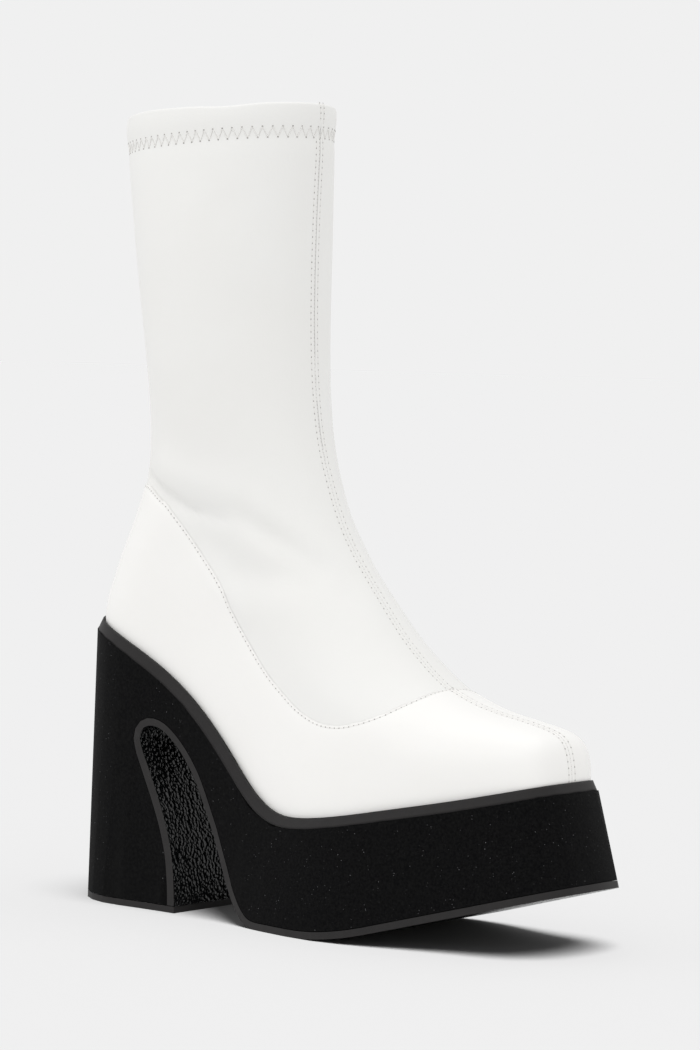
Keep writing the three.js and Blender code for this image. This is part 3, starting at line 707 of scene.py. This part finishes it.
# Black microfibre flock: it takes the light in and gives almost none back, with a faint glow where it is
# seen along the pile. Glints of a few loose fibres that catch the light are painted into its colour as
# pale flecks of
# 0.3 mm, where the fibres are 0.02 mm.
def flock(name):
    surface = {"Roughness": 1.0, "Specular IOR Level": 0.03, "Sheen Weight": 0.03, "Sheen Roughness": 0.5}
    material, shader, where = new_material(name, surface)
    nap = noise(material, where, 1.1 * MM, Detail=6, Roughness=0.75).outputs[0]
    spread = add(material, "ShaderNodeMapRange", {"From Min": 0.38, "From Max": 0.68}, Value=nap)
    black = mix(material, spread.outputs[0], "#080809", "#161616")
    # Painted glints: pale flecks in the colour, where loose fibres would catch the light
    glint_cells = cells(material, where, 1.7 * MM).outputs
    near = add(material, "ShaderNodeMath", {"operation": "LESS_THAN", 1: 0.1}, i0=glint_cells["Distance"])
    some = add(material, "ShaderNodeMath", {"operation": "POWER", 1: 4.0}, i0=glint_cells["Color"])
    both = {"operation": "MULTIPLY"}
    painted_glint = add(material, "ShaderNodeMath", both, i0=near.outputs[0], i1=some.outputs[0])
    glint_colour = {"data_type": "RGBA", 7: linear("#8E8E90")}
    colour = add(material, "ShaderNodeMix", glint_colour, i0=painted_glint.outputs[0], i6=black).outputs[2]
    return wired(material, shader, colour, nap, 0.5, 0.25 * MM)


dress(block, flock("black_flock"))


# Outsole
# A sheet of pebbled black rubber, cemented to the tread, up through the arch and down the front of the
# heel. Its cut edge shows as a charcoal band.

BALL = 150 * MM  # ahead of it every upright face of the sheet is a cut edge
SIDEWAYS = 0.6  # a face is turned to the side when its normal reaches this far to the side
UPRIGHT = 0.8  # and it is upright when its normal reaches less than this far up or down

outsole = new_piece(cad_copy("outsole"), "wrapped_outsole")
outsole.data.set_sharp_from_angle(angle=CUT_EDGE)
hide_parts("outsole")


# The same rubber as it leaves its pebbled press plate: black and glossy, with grains of 1.6 mm
def pebbled_rubber(name):
    surface = {"Base Color": linear("#08090A"), "Roughness": 0.18, "Specular IOR Level": 0.12}
    material, shader, where = new_material(name, surface)
    drift = noise(material, where, 5 * MM, Detail=2).outputs["Color"]
    moved = add(material, "ShaderNodeVectorMath", {"operation": "SCALE", "Scale": 2.5 * MM}, i0=drift)
    place = add(material, "ShaderNodeVectorMath", {"operation": "ADD"}, i0=where, i1=moved.outputs[0])
    pebbles = cells(material, place.outputs[0], 1.6 * MM, feature="SMOOTH_F1", Smoothness=0.25)
    return wired(material, shader, None, pebbles.outputs["Distance"], 1.0, 0.8 * MM, invert=True)


def skin_sole(piece, at_edge):
    """The sheet's cut edges take one finish and its two faces the other."""
    dress(piece, cut_edge, sheet_face)
    for face in piece.data.polygons:
        face.material_index = 0 if at_edge(face) else 1


cut_edge = satin_rubber("charcoal_sole_edge", "#1C1B1B", "#2A2828")
sheet_face = pebbled_rubber("pebbled_sole_rubber")
skin_sole(
    outsole,
    lambda face: abs(face.normal.y) > SIDEWAYS or (face.center.x > BALL and abs(face.normal.z) < UPRIGHT),
)


# Heel top lift
# A wear plate of the same rubber under the heel.

top_lift = new_piece(cad_copy("heel_top_lift"), "top_lift")
top_lift.data.set_sharp_from_angle(angle=CUT_EDGE)
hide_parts("heel_top_lift")
skin_sole(top_lift, lambda face: abs(face.normal.z) < UPRIGHT)


# Studio
# A pale floor under an even white sky. Five lamps reach the boot alone. A sixth reaches the floor alone
# and makes it just as bright as the sky, so that the two meet without a line. The outsole shades it.

SKY = "#F0F0F0"
FLOOR_PAINT = 0.2  # share of the light that the floor gives back
FLOOR_REACH = 60  # metres from its middle to its sides

sky = bpy.data.worlds.new("studio_sky")
bpy.context.scene.world = sky
sky.use_nodes = True
backdrop = sky.node_tree.nodes["Background"]
backdrop.inputs["Color"].default_value = linear(SKY)
backdrop.inputs["Strength"].default_value = 1.0

bm = bmesh.new()
bmesh.ops.create_grid(bm, x_segments=1, y_segments=1, size=FLOOR_REACH)
floor_mesh = bpy.data.meshes.new("studio_floor")
bm.to_mesh(floor_mesh)
bm.free()
floor = bpy.data.objects.new("studio_floor", floor_mesh)
bpy.context.scene.collection.objects.link(floor)
floor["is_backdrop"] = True
paint = {"Roughness": 1.0, "Base Color": [FLOOR_PAINT] * 3 + [1], "Specular IOR Level": 0.0}
floor_mesh.materials.append(new_material("floor_paint", paint)[0])


def sun(name, direction, strength, spread, reaches, shaded_by=None):
    """A lamp far away in a direction, as wide as its spread in degrees, for one collection alone."""
    lamp = bpy.data.lights.new(name, "SUN")
    lamp.energy = strength
    lamp.angle = math.radians(spread)
    light = bpy.data.objects.new(name, lamp)
    light.rotation_euler = Vector(direction).to_track_quat("Z", "Y").to_euler()
    light.light_linking.receiver_collection = reaches
    light.light_linking.blocker_collection = shaded_by
    bpy.context.scene.collection.objects.link(light)


def collected(name, things):
    """A collection that a lamp's light is linked to."""
    group = bpy.data.collections.new(name)
    for thing in things:
        group.objects.link(thing)
    return group


boot = collected("lit_by_the_lamps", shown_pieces())
sun("soft_front", (-0.2, -1.4, 0.9), 0.13, 60, boot)
sun("soft_left", (-1.3, -0.9, 0.5), 0.2, 60, boot)
sun("soft_top", (0, 0, 1), 0.56, 70, boot)
sun("soft_right", (1.2, -0.9, 0.2), 0.14, 60, boot)
sun("small_front", (-0.1, -1.6, 0.9), 0.12, 6, boot)
# The floor's lamp makes up for what the sky alone lacks on painted floor
over_floor = Vector((0.55, -0.28, 1)).normalized()
missing = (1 - FLOOR_PAINT) * linear(SKY)[0] * math.pi / FLOOR_PAINT / over_floor.z
open_floor, tread = collected("open_floor", [floor]), collected("tread", [outsole])
sun("over_floor", over_floor, missing, 40, open_floor, shaded_by=tread)

# The camera: a long lens, nearly level with the foot
AIM = Vector((0.0997, 0, 0.170))
AZIMUTH, ELEVATION, ROLL = (math.radians(a) for a in (38, 2.507, 1.5))
DISTANCE = 1.6
level = Vector((math.sin(AZIMUTH), -math.cos(AZIMUTH), 0))
back = level * math.cos(ELEVATION) + Vector((0, 0, math.sin(ELEVATION)))
right = Vector((math.cos(AZIMUTH), math.sin(AZIMUTH), 0))
up = back.cross(right)
rolled = right * math.cos(ROLL) + up * math.sin(ROLL)
up = up * math.cos(ROLL) - right * math.sin(ROLL)
lens = bpy.data.cameras.new("studio_camera")
lens.sensor_fit = "VERTICAL"
lens.sensor_height = 36
lens.lens = 128.9
camera = bpy.data.objects.new("studio_camera", lens)
turned = Matrix((rolled, up, back)).transposed().to_4x4()
camera.matrix_world = Matrix.Translation(AIM + back * DISTANCE) @ turned
bpy.context.scene.collection.objects.link(camera)
bpy.context.scene.camera = camera
bpy.context.scene.view_settings.view_transform = "Standard"
